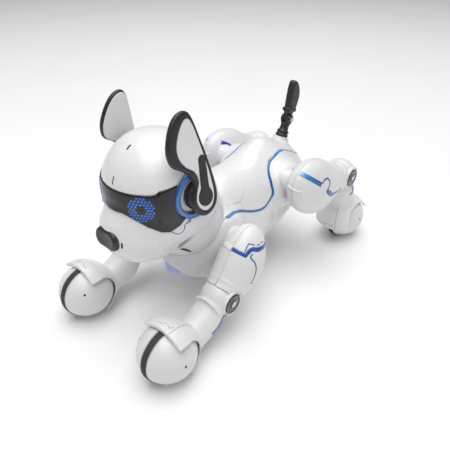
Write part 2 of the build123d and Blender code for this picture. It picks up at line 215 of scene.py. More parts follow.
def skin(field, low, high, step):
    """Closed quad mesh of the zero level of a field in a box: one point in each cell that it crosses."""
    step *= COARSE
    low, high = np.array(low, float), np.array(high, float)
    count = np.ceil((high - low) / step).astype(int) + 1
    axes = [low[i] + step * np.arange(count[i]) for i in range(3)]
    value = field(np.stack(np.meshgrid(*axes, indexing="ij"), -1))
    inner = value < 0
    cells = tuple(count - 1)
    corners = [(i, j, k) for i in (0, 1) for j in (0, 1) for k in (0, 1)]
    total = np.zeros(cells, int)
    for i, j, k in corners:
        total += inner[i:i + cells[0], j:j + cells[1], k:k + cells[2]]
    active = (total > 0) & (total < 8)
    number = np.full(cells, -1)
    number[active] = np.arange(active.sum())
    cell = np.argwhere(active)
    place = np.zeros((len(cell), 3))
    hits = np.zeros(len(cell))
    for corner in corners:
        for axis in range(3):
            if corner[axis]:
                continue
            other = list(corner)
            other[axis] = 1
            a = value[tuple((cell + corner).T)]
            b = value[tuple((cell + other).T)]
            cut = (a < 0) != (b < 0)
            point = np.tile(np.array(corner, float), (len(cell), 1))
            point[cut, axis] = a[cut] / (a[cut] - b[cut])
            place[cut] += point[cut]
            hits += cut
    points = low + step * (cell + place / hits[:, None])
    quads = []
    for axis in range(3):
        u, v = (axis + 1) % 3, (axis + 2) % 3
        first = [slice(1, -1)] * 3
        first[axis] = slice(0, -1)
        second = list(first)
        second[axis] = slice(1, None)
        start_in, end_in = inner[tuple(first)], inner[tuple(second)]
        at = np.argwhere(start_in != end_in)
        rising = start_in[tuple(at.T)]
        at[:, u] += 1
        at[:, v] += 1
        back_u, back_v = np.zeros(3, int), np.zeros(3, int)
        back_u[u], back_v[v] = 1, 1
        loop = [at - back_u - back_v, at - back_v, at, at - back_u]
        quad = np.stack([number[tuple(c.T)] for c in loop], -1)
        quad[~rising] = quad[~rising][:, ::-1]
        quads.append(quad)
    return onto(field, points, step * 0.8), np.vstack(quads)


def lathe(profile, turns=96, closed=False, ripple=None):
    """Profile of (distance along X, radius) points turned about X."""
    profile = np.array(profile, float)
    angles = np.arange(turns) * 2 * math.pi / turns
    rings = []
    for along, radius in profile:
        r = np.full(turns, max(radius, 0.0))
        if ripple is not None:
            r = r + ripple(along, radius, angles)
        rings.append(np.stack((np.full(turns, along), r * np.cos(angles), r * np.sin(angles)), -1))
    points = np.vstack(rings)
    rows = len(profile)
    quads = []
    for row in range(rows if closed else rows - 1):
        a, b = row * turns, (row + 1) % rows * turns
        i = np.arange(turns)
        j = (i + 1) % turns
        quads.append(np.stack((a + i, a + j, b + j, b + i), -1))
    return points, np.vstack(quads)


def strip(field, line, width, lift=0.3, sink=0.6, across=5):
    """Raised band on a surface: a closed strip that follows the field along a line."""
    line = onto(field, line)
    width = np.broadcast_to(np.array(width, float), (len(line),))
    ahead_of = np.gradient(line, axis=0)
    ahead_of /= np.maximum(length(ahead_of), 1e-9)[:, None]
    side = np.cross(outward(field, line), ahead_of)
    side /= np.maximum(length(side), 1e-9)[:, None]
    top, low = [], []
    for t in np.linspace(-0.5, 0.5, across):
        row = onto(field, line + side * (width * t)[:, None])
        normal = outward(field, row)
        rise = lift * (1 - (2 * abs(t))**6 * 0.6)
        top.append(row + normal * rise)
        low.append(row - normal * sink)
    rows = np.array(top + low[::-1])
    n, m = len(line), len(rows)
    points = rows.transpose(1, 0, 2).reshape(-1, 3)
    faces = []
    for i in range(n - 1):
        for j in range(m):
            k = (j + 1) % m
            faces.append((i * m + j, i * m + k, (i + 1) * m + k, (i + 1) * m + j))
    faces.append(tuple(range(m))[::-1])
    faces.append(tuple((n - 1) * m + j for j in range(m)))
    along = np.repeat(np.linspace(0, 1, n), m)
    return points, faces, along


def joined(parts):
    """Several (points, faces) or (points, faces, along) lists as one."""
    points, faces, along, start = [], [], [], 0
    for part in parts:
        points.append(part[0])
        faces += [tuple(int(i) + start for i in face) for face in part[1]]
        along.append(part[2] if len(part) > 2 else np.zeros(len(part[0])))
        start += len(part[0])
    return np.vstack(points), faces, np.concatenate(along)


def mirrored(part):
    """The same part on the other side of the dog."""
    points = part[0] * (-1, 1, 1)
    faces = [tuple(face)[::-1] for face in part[1]]
    return (points, faces) + tuple(part[2:])


def moved(part, matrix, offset):
    """A part turned by a matrix, then shifted."""
    return (part[0] @ np.array(matrix, float).T + offset,) + tuple(part[1:])


def about_x(degrees):
    """Rotation matrix about X."""
    c, s = math.cos(math.radians(degrees)), math.sin(math.radians(degrees))
    return [[1, 0, 0], [0, c, -s], [0, s, c]]


def piece(name, part, material, body, nodes=()):
    """Makes an object from a mesh in millimetres and ties it to a CAD body."""
    mesh = bpy.data.meshes.new(name)
    faces = part[1].tolist() if isinstance(part[1], np.ndarray) else part[1]
    mesh.from_pydata((part[0] * MM).tolist(), [], faces)
    mesh.validate()
    if len(part) > 2:
        layer = mesh.attributes.new("along", "FLOAT", "POINT")
        layer.data.foreach_set("value", np.asarray(part[2], np.float32))
    mesh.shade_smooth()
    obj = bpy.data.objects.new(name, mesh)
    bpy.context.scene.collection.objects.link(obj)
    obj.data.materials.append(material)
    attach(obj, body)
    if nodes:
        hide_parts(*nodes)
    return obj


# ======== materials
class Shader:
    """Node tree of one material around a Principled BSDF."""

    def __init__(self, name, colour, rough, **sockets):
        self.material = bpy.data.materials.new(name)
        self.material.use_nodes = True
        self.tree = self.material.node_tree
        self.bsdf = self.tree.nodes["Principled BSDF"]
        self.set(Roughness=rough, **{"Base Color": (*colour, 1)})
        for key, value in sockets.items():
            self.bsdf.inputs[key.replace("_", " ")].default_value = value
        self.place = self.node("ShaderNodeTexCoord").outputs["Object"]

    def set(self, **sockets):
        for key, value in sockets.items():
            self.bsdf.inputs[key].default_value = value

    def node(self, kind, **settings):
        made = self.tree.nodes.new(kind)
        for key, value in settings.items():
            setattr(made, key, value)
        return made

    def link(self, output, target):
        self.tree.links.new(output, target)

    def noise(self, size_mm, detail=3.0, stretch=(1, 1, 1)):
        """Noise whose features are about size_mm across."""
        made = self.node("ShaderNodeTexNoise")
        made.inputs["Scale"].default_value = 1 / (size_mm * MM)
        made.inputs["Detail"].default_value = detail
        if stretch == (1, 1, 1):
            self.link(self.place, made.inputs["Vector"])
        else:
            mapping = self.node("ShaderNodeMapping")
            mapping.inputs["Scale"].default_value = stretch
            self.link(self.place, mapping.inputs["Vector"])
            self.link(mapping.outputs["Vector"], made.inputs["Vector"])
        return made.outputs["Fac"]

    def cells(self, size_mm):
        """Distance to the middles of cells about size_mm across."""
        made = self.node("ShaderNodeTexVoronoi")
        made.inputs["Scale"].default_value = 1 / (size_mm * MM)
        self.link(self.place, made.inputs["Vector"])
        return made.outputs["Distance"]

    def ramp(self, source, stops):
        made = self.node("ShaderNodeValToRGB")
        elements = made.color_ramp.elements
        while len(elements) < len(stops):
            elements.new(0.5)
        for element, (position, colour) in zip(elements, stops):
            element.position = position
            element.color = (*colour, 1) if len(colour) == 3 else colour
        self.link(source, made.inputs["Fac"])
        return made.outputs["Color"]

    def scaled(self, source, low, high, start=0.3, end=0.7):
        """Spreads the start-to-end part of a value over low to high."""
        made = self.node("ShaderNodeMapRange")
        for key, value in (("From Min", start), ("From Max", end), ("To Min", low), ("To Max", high)):
            made.inputs[key].default_value = value
        self.link(source, made.inputs["Value"])
        return made.outputs["Result"]

    def attribute(self, name):
        return self.node("ShaderNodeAttribute", attribute_name=name).outputs["Fac"]

    def tint(self, colour):
        self.link(colour, self.bsdf.inputs["Base Color"])

    def roughness(self, value):
        self.link(value, self.bsdf.inputs["Roughness"])

    def bump(self, height, depth_mm, strength=0.5):
        made = self.node("ShaderNodeBump")
        made.inputs["Strength"].default_value = strength
        made.inputs["Distance"].default_value = depth_mm * MM
        self.link(height, made.inputs["Height"])
        self.link(made.outputs["Normal"], self.bsdf.inputs["Normal"])


def moulded(name, colour, rough, spread=0.03, grain_mm=0.5, depth_mm=0.02, shift=0.05, **sockets):
    """Moulded plastic: fine surface grain, faint flow marks and uneven gloss."""
    shader = Shader(name, colour, rough, **sockets)
    flow = shader.noise(28, 4.0, (1, 0.4, 1))
    dark = tuple(c * (1 - spread) for c in colour)
    light = tuple(min(1, c * (1 + spread)) for c in colour)
    shader.tint(shader.ramp(flow, [(0.3, dark), (0.7, light)]))
    shader.roughness(shader.scaled(shader.noise(6, 5.0), rough - shift, rough + shift))
    shader.bump(shader.noise(grain_mm, 2.0), depth_mm)
    return shader.material


def glowing(name, stops, rough, strength):
    """Blue piece with a faint emission and a colour ramp along it. On the eye LEDs this is lamp light. On the
    printed blue marks the emission is painted glow, and the ramp's lighter and darker stretches are painted
    highlight and shade.
    """
    shader = Shader(name, stops[0][1], rough, Coat_Weight=0.6, Coat_Roughness=0.1)
    colour = shader.ramp(shader.attribute("along"), stops)
    shader.tint(colour)
    shader.link(colour, shader.bsdf.inputs["Emission Color"])
    shader.bsdf.inputs["Emission Strength"].default_value = strength
    shader.roughness(shader.scaled(shader.noise(3, 3.0), rough - 0.05, rough + 0.08))
    shader.bump(shader.noise(0.8, 2.0), 0.02)
    return shader.material


WHITE = moulded("white_abs", (0.80, 0.80, 0.805), 0.30, 0.012, Coat_Weight=0.25, Coat_Roughness=0.12)
# Painted shade: the legs and half balls use the same white plastic as the body, made a little darker to stand for
# the shade the legs are in.
WHITE_LEG_SHADED = moulded("white_abs_satin_shaded", (0.78, 0.78, 0.785), 0.36, 0.015, Coat_Weight=0.12, Coat_Roughness=0.2)
BALL_SHADED = moulded("ball_abs_shaded", (0.76, 0.755, 0.76), 0.34, 0.015, Coat_Weight=0.2, Coat_Roughness=0.15)
COLLAR = moulded("collar_gloss", (0.74, 0.75, 0.76), 0.16, 0.03, Coat_Weight=0.5, Coat_Roughness=0.06)
# Painted shade: grey lines laid on the shells where panel grooves are shaded.
PANEL_GROOVE_SHADE = moulded("painted_panel_groove_shade", (0.30, 0.30, 0.32), 0.6, 0.08)
RIDGE = moulded("white_ridge", (0.86, 0.86, 0.865), 0.3, 0.012)
VISOR = moulded("visor_smoked", (0.010, 0.010, 0.013), 0.09, 0.3, 0.9, 0.004, 0.025, Coat_Weight=0.35,
                Coat_Roughness=0.03, Specular_IOR_Level=0.30)
BLACK = moulded("charcoal_satin", (0.020, 0.020, 0.023), 0.36, 0.12, 0.4, 0.02, 0.06)
INLAY = moulded("charcoal_grained", (0.022, 0.022, 0.027), 0.5, 0.12, 0.3, 0.05, 0.08)
NOSE = moulded("nose_rubber", (0.022, 0.022, 0.024), 0.38, 0.15, 0.5, 0.05, 0.08)
TAIL = moulded("tail_soft_plastic", (0.024, 0.024, 0.028), 0.42, 0.15, 0.5, 0.04, 0.08)
CAP_BLACK = moulded("pivot_gloss_black", (0.02, 0.02, 0.024), 0.14, 0.2, 0.5, 0.008, 0.05, Coat_Weight=0.6)
# Painted shade: near-black colour on thin strips and discs that stand in for the shade inside slots, holes and
# gaps.
RECESS_SHADE = moulded("painted_recess_shade", (0.035, 0.028, 0.028), 0.7, 0.1)
LENS = moulded("frosted_lens", (0.42, 0.45, 0.82), 0.32, 0.05, 0.8, 0.03, 0.05, Emission_Strength=0.12,
               Emission_Color=(0.40, 0.44, 0.95, 1))
# Printed blue marks: their emission is painted glow, their paler ramp stops are painted highlight and their deep
# stops are painted shade.
BLUE = glowing("blue_trim", [(0.0, (0.12, 0.38, 0.75)), (0.25, (0.012, 0.12, 0.42)),
                             (0.7, (0.008, 0.09, 0.34)), (1.0, (0.07, 0.30, 0.65))], 0.22, 0.06)
BLUE_DEEP = glowing("blue_trim_deep", [(0.0, (0.04, 0.11, 0.42)), (0.3, (0.005, 0.07, 0.30)),
                                       (1.0, (0.004, 0.08, 0.30))], 0.22, 0.05)
BLUE_FADE = glowing("blue_trim_fade", [(0.0, (0.38, 0.58, 0.82)), (0.35, (0.04, 0.22, 0.55)),
                                       (1.0, (0.005, 0.06, 0.28))], 0.22, 0.06)
# Ear ring ramp across its tube section: the dark stop is painted shade on the side facing the ear hub, and the
# light stop is painted highlight toward the outer face.
BLUE_RING = glowing("blue_light_ring", [(0.0, (0.004, 0.025, 0.12)), (0.35, (0.006, 0.08, 0.32)),
                                        (0.7, (0.04, 0.22, 0.58)), (1.0, (0.01, 0.08, 0.3))], 0.15, 0.06)
LED = glowing("blue_led", [(0.0, (0.01, 0.10, 0.45)), (1.0, (0.04, 0.20, 0.68))], 0.3, 0.2)


def tyre_material():
    """Black rubber with a pebbled surface."""
    shader = Shader("tyre_rubber", (0.035, 0.035, 0.04), 0.62)
    shader.tint(shader.ramp(shader.noise(5, 4.0), [(0.3, (0.022, 0.022, 0.026)), (0.7, (0.05, 0.05, 0.056))]))
    shader.roughness(shader.scaled(shader.noise(1.5, 4.0), 0.52, 0.75))
    shader.bump(shader.cells(0.7), 0.12, 0.7)
    return shader.material


def metal(name, colour, rough):
    """Plated metal with fine brushing."""
    shader = Shader(name, colour, rough, Metallic=1.0)
    shader.tint(shader.ramp(shader.noise(3, 4.0), [(0.3, tuple(c * 0.8 for c in colour)), (0.7, colour)]))
    shader.roughness(shader.scaled(shader.noise(0.6, 3.0, (1, 12, 1)), rough - 0.08, rough + 0.1))
    shader.bump(shader.noise(0.3, 2.0, (1, 10, 1)), 0.01)
    return shader.material


def board_material():
    """Green circuit board with faint tracks."""
    shader = Shader("green_board", (0.02, 0.16, 0.07), 0.35)
    tracks = shader.node("ShaderNodeTexBrick")
    tracks.inputs["Scale"].default_value = 240
    shader.link(shader.place, tracks.inputs["Vector"])
    for key, colour in (("Color1", (0.015, 0.13, 0.06)), ("Color2", (0.02, 0.17, 0.08)),
                        ("Mortar", (0.05, 0.25, 0.12))):
        tracks.inputs[key].default_value = (*colour, 1)
    shader.tint(tracks.outputs["Color"])
    shader.roughness(shader.scaled(shader.noise(2, 3.0), 0.3, 0.45))
    shader.bump(shader.cells(1.6), 0.1)
    return shader.material


TYRE = tyre_material()
SLOT_FINISH = {
    "white_shell": WHITE,
    "visor_gloss": VISOR,
    "pivot_cap": CAP_BLACK,
    "grey_inner": moulded("grey_moulded", (0.35, 0.36, 0.38), 0.5, 0.06),
    "tyre": TYRE,
    "chest_lens": LENS,
    "collar": COLLAR,
    "battery_wrap": moulded("battery_wrap", (0.05, 0.25, 0.15), 0.25, 0.1, 1.5, 0.05),
    "circuit_board": board_material(),
    "gearbox": moulded("gear_housing", (0.2, 0.2, 0.22), 0.5, 0.08),
    "screw_steel": metal("zinc_steel", (0.55, 0.55, 0.56), 0.3),
    "black_trim": BLACK,
    "inlay_black": INLAY,
    "tail_plastic": TAIL,
    "nose_rubber": NOSE,
    "blue_light": BLUE_RING,
}
# CAD nodes that no piece replaces keep their own shape and get their slot's finish.
for part_row in frame["record"]["subparts"]:
    node = frame["nodes"][part_row["node"]]
    node.data.materials.clear()
    node.data.materials.append(SLOT_FINISH[part_row["material_slot"]])

# ======== legs
AXLES = {end: middle_of(f"{end}_left_tyre") for end in ("front", "hind")}
LEG_X = AXLES["front"][0]
KNUCKLE_R, KNUCKLE_FLAT = 17.0, 14.4        # ball of the elbow or knee, and its half-width
SOCKET_R = 17.6                             # hollow in the upper leg round the knuckle
CHANNEL_START, CHANNEL_END = 14.2, 17.5     # room for the swinging lower leg
SWING_STEP = 14
CAP_R = 25.0
GUARD_IN, GUARD_OUT = 26.4, 27.8
BRIM_RISE, BRIM_START, BRIM_RUN = 2.4, -17.0, 15.0
POLE_OPENING = 20.4                         # round side openings for the half balls
LIP, LIP_FACING = 4.0, 165                  # front edge of the guard
END, END_FACING = 19.3, -105                # lower edge of the guard
POLE_REACH, END_REACH, NO_CUT = 36, 38, -9.0    # how far from the axle two of the guard's cuts go
HALF_GAP = 0.12                             # half of the fine gap between two shells
BALL_HOLES = np.array([(24.6, -2.3, 3.8), (-18.5, -12.0, 11.8)])    # on the half balls, from the axle
BALL_HOLE_R = 1.1
LIFT = 0.28                                 # height of an inlay
GUARD_TICKS = [[(48.6, -138.8, 54.9), (53.8, -138.9, 56.0), (55.4, -136.0, 55.4)],
               [(57.4, -137.0, 55.4), (61.6, -138.4, 55.4), (62.2, -135.2, 54.8)]]
GUARD_EDGE = [(64.6, -143.0, 54.6), (64.0, -131.7, 53.2), (61.0, -115.4, 45.8)]
SHAPES = {
    # hub and pivot joints; middle of the upper leg from the hub, lean and half-sizes of its egg; cuff
    # radius, swing of the lower leg from rest, boss on the body and its offset, sag of the lower leg
    "front": dict(joints=("shoulder_left", "elbow_left"), offset=(-7.5, -13.0), lean=62.0,
                  egg=(19.0, 33.4, 21.3), cuff=16.6, swing=(-18, 40), boss=17.0, drop=(0, 0, 0),
                  sag=10.5),
    "hind": dict(joints=("hip_left", "knee_left"), offset=(21.0, -10.5), lean=-30.5,
                 egg=(18.0, 41.5, 28.5), cuff=16.0, swing=(-8, 42), boss=20.5, drop=(0, 7, -8),
                 sag=0.0),
}
for end, shape in SHAPES.items():
    shape["hub"] = PIVOTS[shape["joints"][0]]
    shape["pivot"] = PIVOTS[shape["joints"][1]]
    shape["axle"] = AXLES[end]
    shape["middle"] = shape["hub"] + (0, *shape["offset"])
    away = shape["pivot"] - shape["axle"]
    shape["rest"] = math.degrees(math.atan2(away[2], away[1]))


def upper_leg_field(shape):
    """Whole upper leg: egg-shaped thigh or shoulder with a socket for the knuckle."""
    pivot, middle = shape["pivot"], shape["middle"]
    toward = (pivot - middle) / length(pivot - middle)
    tip = pivot - toward * 6

    def field(p):
        f = egg(p, middle, shape["egg"], shape["lean"])
        tube = rod(p, middle, tip, shape["cuff"] + 1.2, shape["cuff"])
        along = (p - tip) @ toward
        off_axis = length(p - tip - along[..., None] * toward) - shape["cuff"]
        tube = smax(tube, along - 6, 1.0)
        end_band = np.hypot(off_axis + 0.9, along + 0.5) - 1.5
        upper_band = np.hypot(off_axis + 0.3, along + 7.5) - 1.3
        f = smin(smin(smin(f, tube, 9), end_band, 1.0), upper_band, 1.0)
        f = smax(f, -sphere(p, pivot, SOCKET_R), 1.0)
        for swing in np.arange(shape["swing"][0], shape["swing"][1] + 1, SWING_STEP):
            angle = math.radians(shape["rest"] + swing)
            end_point = pivot - np.array((0, math.cos(angle), math.sin(angle))) * 60
            f = smax(f, -rod(p, pivot, end_point, CHANNEL_START, CHANNEL_END), 1.0)
        return smax(f, -rod_x(p, pivot, 11.2, LEG_X + KNUCKLE_FLAT - 2, LEG_X + 60), 0.8)
    return field


def lower_leg_field(shape):
    """Knuckle, forearm or shank, and ball guard, in the row frame."""
    pivot, axle, rest = shape["pivot"], shape["axle"], shape["rest"]
    back = (axle - pivot) / length(axle - pivot)
    sag = np.array((0, 0, -shape["sag"]))
    bend = pivot + back * 21 + sag * 0.8

    def field(p):
        knuckle = smax(sphere(p, pivot, KNUCKLE_R), np.abs(p[..., 0] - LEG_X) - KNUCKLE_FLAT, 2.5)
        knuckle = smin(knuckle, ring_x(p, pivot, LEG_X + KNUCKLE_FLAT - 0.2, 10.6, 1.5), 0.8)
        arm = smin(rod(p, pivot + back * 6, bend, 13.5, 14.4),
                   rod(p, bend, pivot + back * 46 + sag, 14.2, 14.2), 4)
        along = (p - pivot) @ back
        off_axis = length(p - pivot - along[..., None] * back)
        ridge = np.hypot(off_axis - 13.0, along - 15.5) - 1.4
        q = p - axle
        r = length(q)
        to_lip = ahead(p, axle, rest + LIP_FACING)
        ramp = np.clip((to_lip - BRIM_START) / BRIM_RUN, 0, 1)
        outer = GUARD_OUT + BRIM_RISE * ramp * ramp * (3 - 2 * ramp)
        f = smin(r - outer, arm, 2.5)
        f = smin(f, smin(knuckle, ridge, 1.5), 1.5)
        opening = POLE_OPENING - np.hypot(q[..., 1], q[..., 2])
        end = ahead(p, axle, rest + END_FACING) - END
        f = smax(f, GUARD_IN - r, 0.7)
        f = smax(f, np.where(r < POLE_REACH, opening, NO_CUT), 1.0)
        f = smax(f, to_lip - LIP, 0.9)
        return smax(f, np.where(r < END_REACH, end, NO_CUT), 0.9)
    return field


def half_ball():
    """White half ball beside the tyre, open side on -X, as a thick shell."""
    inner, flat, edge = CAP_R - 1.6, 3.4, 0.7
    profile = [(CAP_R, 0.0)]
    for t in np.linspace(4, 84, 22):
        profile.append((CAP_R * math.cos(math.radians(t)), CAP_R * math.sin(math.radians(t))))
    rim_r = math.sqrt(CAP_R**2 - flat**2)
    profile += [(flat + edge, rim_r - 0.05), (flat + 0.2, rim_r - 0.3), (flat, rim_r - edge)]
    profile += [(flat, inner)]
    for t in np.linspace(80, 8, 12):
        profile.append((inner * math.cos(math.radians(t)), inner * math.sin(math.radians(t))))
    profile.append((inner, 0.0))
    return lathe(profile, 112)


def tyre_ring():
    """Rubber strip with fine cross ribs and a crowned tread."""
    outer, half, seat = 25.8, 2.8, 23.0
    flank = [(-half, seat), (-half, outer - 0.8), (-half * 0.85, outer - 0.32), (-half * 0.5, outer - 0.06)]
    section = flank + [(0, outer)] + [(-x, radius) for x, radius in flank[::-1]]

    def ribs(along, radius, angles):
        wave = (np.sin(angles * 90) > 0.35) & (abs(along) > 0.6) & (radius > outer - 0.7)
        return np.where(wave, -0.22, 0.0)
    return lathe(section, 540, True, ribs)


def pivot_cap():
    """Domed disc with a fine rim, for the black pivot cover; the pale oblong centre mark is a separate piece."""
    base = KNUCKLE_FLAT - 0.4
    disc = [(base, 8.9), (base + 1.6, 8.9), (base + 2.1, 8.5), (base + 2.2, 7.9), (base + 1.8, 7.3),
            (base + 1.8, 5.2), (base + 2.3, 4.4), (base + 2.4, 0.0)]
    return lathe(disc[::-1], 72)


def oblong(x, half_long, half_wide, rise, lean):
    """Small rounded plate facing +X."""
    angles = np.linspace(0, 2 * math.pi, 28, endpoint=False)
    rim = np.stack((np.cos(angles) * half_wide, np.sin(angles) * half_wide), -1)
    rim[:, 0] += np.sign(rim[:, 0]) * (half_long - half_wide)
    c, s = math.cos(math.radians(lean)), math.sin(math.radians(lean))
    rim = np.stack((rim[:, 0] * c - rim[:, 1] * s, rim[:, 0] * s + rim[:, 1] * c), -1)
    rows = []
    for height, size in ((-0.4, 1.0), (rise * 0.6, 1.0), (rise, 0.85), (rise, 0.0)):
        rows.append(np.column_stack((np.full(len(rim), x + height), rim * size)))
    points = np.vstack(rows)
    n = len(rim)
    faces = []
    for row in range(3):
        for i in range(n):
            j = (i + 1) % n
            faces.append((row * n + i, row * n + j, (row + 1) * n + j, (row + 1) * n + i))
    return points, faces


def decal(field, line, width, lift=LIFT, per=6):
    """Thin raised inlay along a line of a few points on a surface."""
    path = smooth_line(line, per)
    if not np.isscalar(width):
        width = np.interp(np.linspace(0, 1, len(path)), np.linspace(0, 1, len(width)), width)
    return strip(field, path, width, lift)


def fine_line(field, path, width, lift):
    """Narrow strip with few rows, for panel lines and slots."""
    return strip(field, path, width, lift, 0.5, 3)


def polyline(points, spacing=1.0):
    """Straight runs between points, divided evenly."""
    out = []
    for a, b in zip(points[:-1], points[1:]):
        a, b = np.array(a, float), np.array(b, float)
        steps = max(2, int(length(b - a) / spacing))
        out += [a + (b - a) * t / steps for t in range(steps)]
    return np.array(out + [np.array(points[-1], float)])


def forearm_line(drop):
    """Line down the outer lower edge of the front lower leg."""
    return [(71.9, -84.6, 37.6 - drop), (71.2, -88.6, 33.0 - drop), (71.4, -94.5, 29.6 - drop),
            (71.1, -101.4, 26.6 - drop)]


# Printed blue marks with painted glow, and raised white ridges: name, body, material, slot, strokes.
# A stroke is its points, width (one, or a few along it), lift and points per span.
LEG_DECALS = {
    "front": [
        ("shoulder_bar", "upper_leg", RIDGE, "white_shell", [
            ([(45.3, -56.9, 84.5), (50.5, -59.6, 86.0), (56.6, -60.6, 86.3)], 4.6, 0.5)]),
        ("shoulder_blue_mark", "upper_leg", BLUE_DEEP, "blue_light", [
            ([(57.2, -60.5, 86.2), (63.9, -59.2, 84.9), (69.8, -56.4, 82.2)], (3.6, 3.6, 3.0)),
            ([(69.2, -57.0, 82.4), (69.3, -52.9, 85.2), (70.6, -49.0, 86.4)], (2.6, 3.6, 3.6)),
            ([(70.2, -49.8, 86.4), (72.6, -45.6, 84.6), (73.2, -41.0, 83.6), (72.4, -34.5, 82.6),
              (70.0, -28.5, 83.2)], (3.8, 4.0, 3.8, 3.2, 1.6))]),
        ("shoulder_outline", "upper_leg", BLUE_DEEP, "blue_light", [
            ([(67.8, -56.6, 85.4), (66.8, -52.9, 88.4), (66.6, -49.8, 90.4)], 0.9, LIFT, 4),
            ([(66.6, -50.0, 90.4), (68.6, -47.6, 89.2), (69.9, -46.0, 88.2)], 0.9, LIFT, 4),
            ([(70.8, -44.0, 87.4), (71.0, -41.0, 87.0)], 0.9, LIFT, 3),
            ([(70.9, -38.6, 86.8), (70.4, -35.8, 86.6)], 0.9, LIFT, 3),
            ([(72.0, -51.2, 83.0), (71.9, -53.6, 81.5), (73.3, -53.4, 79.0), (75.2, -51.8, 75.4),
              (76.6, -51.5, 69.4), (76.7, -52.9, 63.7), (76.0, -55.8, 57.6)], 1.2),
            ([(76.4, -56.2, 57.2), (75.9, -56.8, 55.8)], 2.2, LIFT, 3)]),
        ("forearm_blue_mark", "lower_leg", BLUE_DEEP, "blue_light", [(forearm_line(0.0), 2.4, LIFT, 4)]),
        ("forearm_edge_line", "lower_leg", BLUE_FADE, "blue_light", [(forearm_line(3.4), 1.2, LIFT, 4)]),
    ],
    "hind": [
        ("hip_blue_mark", "upper_leg", BLUE_FADE, "blue_light", [
            ([(58.6, 33.0, 121.6), (64.4, 36.0, 118.9), (69.6, 43.0, 113.2), (72.8, 50.6, 107.4)], 4.6)]),
        ("hip_curve", "upper_leg", BLUE_DEEP, "blue_light", [
            ([(72.9, 52.4, 107.8), (72.6, 55.6, 110.0), (72.7, 60.6, 110.2), (73.9, 63.6, 107.2),
              (74.9, 63.0, 104.0), (75.5, 60.4, 101.2), (75.7, 58.4, 99.2)], 1.7),
            ([(75.7, 57.2, 99.4), (76.2, 62.6, 94.6), (76.2, 67.0, 91.0)], (3.2, 5.0, 5.0)),
            ([(76.2, 66.4, 90.4), (75.0, 76.0, 88.6), (73.4, 85.6, 86.0)], (4.0, 2.6, 2.0)),
            ([(73.0, 87.8, 86.2), (71.8, 92.6, 85.8)], (2.4, 3.0), LIFT, 3)]),
        ("hip_inner_blue_mark", "upper_leg", BLUE_DEEP, "blue_light", [
            ([(46.4, 40.5, 119.2), (44.6, 45.0, 116.4), (42.6, 50.6, 112.4)], 4.4)]),
        ("hip_ridges", "upper_leg", RIDGE, "white_shell", [
            ([(50.5, 25.4, 109.6), (58.0, 24.9, 107.6), (64.9, 29.0, 105.9)], 1.7, 0.8),
            ([(64.9, 29.0, 105.9), (66.4, 31.4, 97.8), (67.8, 37.0, 88.0), (66.8, 42.3, 81.0)], 1.3, 0.6),
            ([(46.0, 31.7, 104.0), (43.4, 36.8, 98.9), (41.1, 44.0, 94.0)], 1.4, 0.6)]),
        ("shank_blue_mark", "lower_leg", BLUE_DEEP, "blue_light", [
            ([(71.2, 121.5, 79.4), (71.5, 126.4, 66.6)], 3.2),
            ([(71.5, 126.0, 66.9), (71.5, 120.6, 65.4)], 3.0, LIFT, 4)]),
    ],
}


def eyelet(field, point, radius, lift=0.12):
    """Small disc lying on a surface where a screw hole or a drain hole is; its dark colour is painted shade of the
    hole's inside.
    """
    centre = onto(field, [point])
    normal = outward(field, centre)[0]
    across = np.cross(normal, (0, 0, 1))
    across /= length(across)
    frame_axes = np.column_stack((normal, across, np.cross(normal, across)))
    disc = lathe([(lift, 0.0), (lift, radius * 0.8), (0.0, radius), (-0.5, radius), (-0.5, 0.0)], 24)
    return moved(disc, frame_axes, centre[0])


def guard_marks(end, shin):
    """Fine grey panel lines on top of the ball guard, painted shade of its panel grooves, placed on the front leg
    and turned for the hind leg.
    """
    shape, front = SHAPES[end], SHAPES["front"]
    turn = about_x(shape["rest"] - front["rest"])

    def fit(points):
        return (np.array(points, float) - front["axle"]) @ np.array(turn).T + shape["axle"]
    paths = [polyline(line) for line in GUARD_TICKS] + [smooth_line(GUARD_EDGE, 8)]
    return joined([fine_line(shin, fit(path), 0.5, 0.05) for path in paths])


